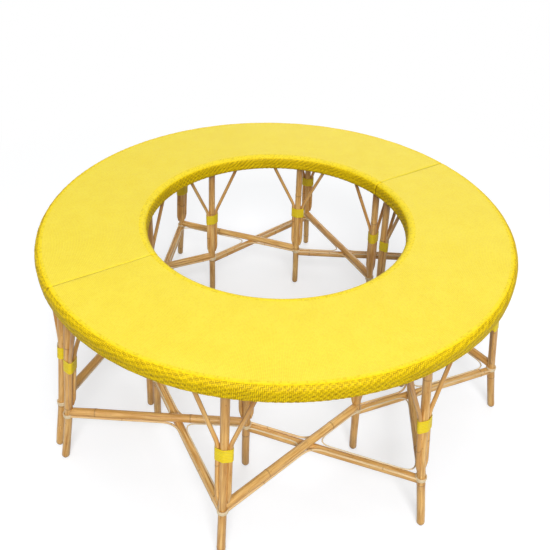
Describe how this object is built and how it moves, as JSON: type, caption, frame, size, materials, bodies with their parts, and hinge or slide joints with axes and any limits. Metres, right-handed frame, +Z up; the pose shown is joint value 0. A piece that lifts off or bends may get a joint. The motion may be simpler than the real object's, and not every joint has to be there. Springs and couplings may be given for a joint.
{
  "type": "circular bench",
  "caption": "Backless ring bench in two half rings, with splayed rattan legs, crossed stretchers and a woven yellow seat round an open well",
  "frame": {"origin": "on the floor at the middle of the well", "axes": "+Z up; +X along the seam between the two halves; the rear half lies at +Y and the front half at -Y"},
  "size_m": [1.237, 1.237, 0.48],
  "materials": {
    "woven_yellow": "tightly woven lemon-yellow synthetic cane, satin, slightly ribbed",
    "binding_yellow": "flat golden-yellow binding cane, satin",
    "rattan": "honey-coloured peeled rattan pole, clear satin lacquer",
    "natural_cane": "pale cream natural cane, satin"
  },
  "bodies": {
    "root": {"front_seat_cover": "woven_yellow", "front_seat_frame": "rattan", "front_outer_leg_1": "rattan", "front_outer_binding_1": "binding_yellow", "front_outer_leg_2": "rattan", "front_outer_binding_2": "binding_yellow", "front_outer_leg_3": "rattan", "front_outer_binding_3": "binding_yellow", "front_outer_leg_4": "rattan", "front_outer_binding_4": "binding_yellow", "front_outer_leg_5": "rattan", "front_outer_binding_5": "binding_yellow", "front_outer_lining": "natural_cane", "front_inner_leg_1": "rattan", "front_inner_binding_1": "binding_yellow", "front_inner_leg_2": "rattan", "front_inner_binding_2": "binding_yellow", "front_inner_leg_3": "rattan", "front_inner_binding_3": "binding_yellow", "front_inner_leg_4": "rattan", "front_inner_binding_4": "binding_yellow", "front_inner_leg_5": "rattan", "front_inner_binding_5": "binding_yellow", "front_inner_lining": "natural_cane", "front_stretchers_1": "rattan", "front_stretchers_2": "rattan", "front_stretchers_3": "rattan", "front_stretchers_4": "rattan", "rear_seat_cover": "woven_yellow", "rear_seat_frame": "rattan", "rear_outer_leg_1": "rattan", "rear_outer_binding_1": "binding_yellow", "rear_outer_leg_2": "rattan", "rear_outer_binding_2": "binding_yellow", "rear_outer_leg_3": "rattan", "rear_outer_binding_3": "binding_yellow", "rear_outer_leg_4": "rattan", "rear_outer_binding_4": "binding_yellow", "rear_outer_leg_5": "rattan", "rear_outer_binding_5": "binding_yellow", "rear_outer_lining": "natural_cane", "rear_inner_leg_1": "rattan", "rear_inner_binding_1": "binding_yellow", "rear_inner_leg_2": "rattan", "rear_inner_binding_2": "binding_yellow", "rear_inner_leg_3": "rattan", "rear_inner_binding_3": "binding_yellow", "rear_inner_leg_4": "rattan", "rear_inner_binding_4": "binding_yellow", "rear_inner_leg_5": "rattan", "rear_inner_binding_5": "binding_yellow", "rear_inner_lining": "natural_cane", "rear_stretchers_1": "rattan", "rear_stretchers_2": "rattan", "rear_stretchers_3": "rattan", "rear_stretchers_4": "rattan"}
  },
  "joints": []
}
